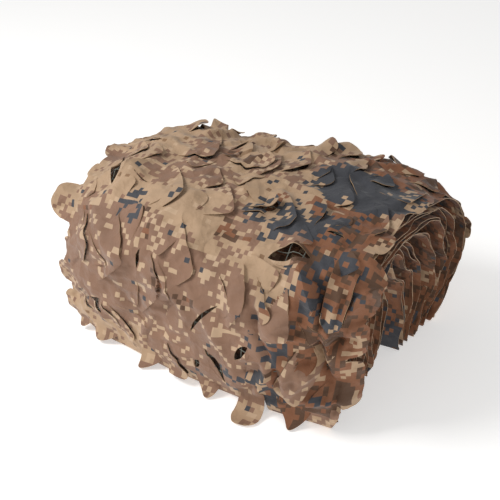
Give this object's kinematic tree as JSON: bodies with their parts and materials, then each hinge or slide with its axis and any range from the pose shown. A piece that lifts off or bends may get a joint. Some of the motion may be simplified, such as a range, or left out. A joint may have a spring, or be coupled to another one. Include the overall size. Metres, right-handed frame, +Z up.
{
  "type": "folded camouflage netting",
  "caption": "Leaf-cut camouflage netting, folded back and forth and doubled over into a bundle of nested arches that stands on its folds.",
  "frame": {"origin": "middle of the underside, on the surface that the bundle stands on", "axes": "+X along the folds towards the end that shows both legs, +Y from the near leg to the far leg, +Z up"},
  "size_m": [0.5878, 0.4904, 0.3077],
  "materials": {
    "printed_cloth": "matt printed polyester cloth in sand, brown and slate"
  },
  "bodies": {
    "root": {"netting": "printed_cloth"}
  },
  "joints": []
}
